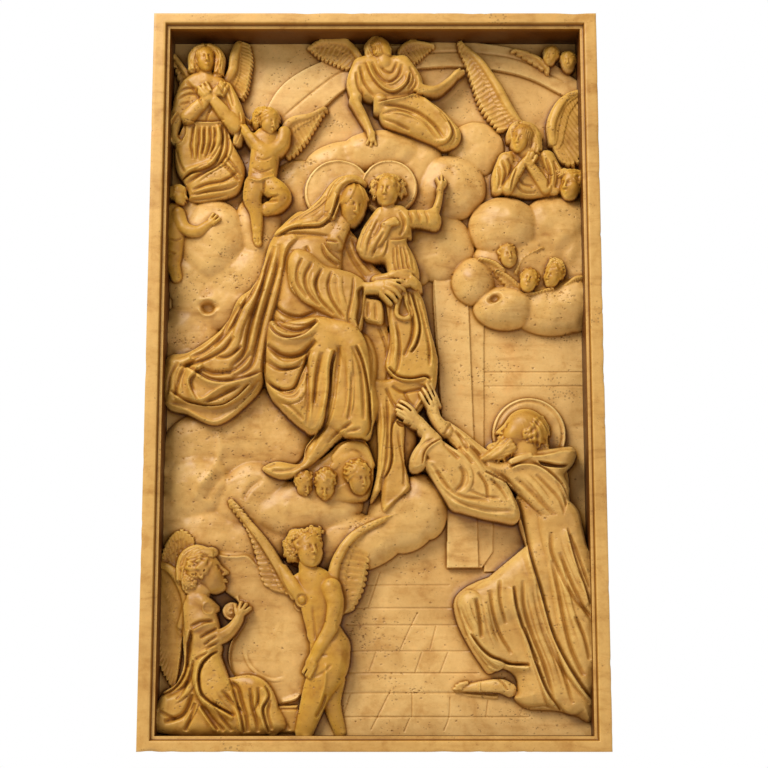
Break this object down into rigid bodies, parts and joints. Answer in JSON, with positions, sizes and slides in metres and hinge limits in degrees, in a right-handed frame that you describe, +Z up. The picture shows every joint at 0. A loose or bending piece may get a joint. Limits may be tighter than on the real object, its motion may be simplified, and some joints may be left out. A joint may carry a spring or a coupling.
{
  "type": "stone relief panel",
  "caption": "Tall carved travertine wall panel in high relief with an integral stepped frame: seated figure with child on clouds, kneeling figure, winged figures.",
  "frame": {"origin": "centre of the flat back face, where the panel meets the wall", "axes": "+Z up the panel's height, +Y from the carving through the back into the wall, +X to the viewer's right"},
  "size_m": [0.917, 0.14, 1.5],
  "materials": {
    "travertine": "honed ochre travertine with open pores, darker in the hollows"
  },
  "bodies": {
    "root": {"relief_panel": "travertine"}
  },
  "joints": []
}
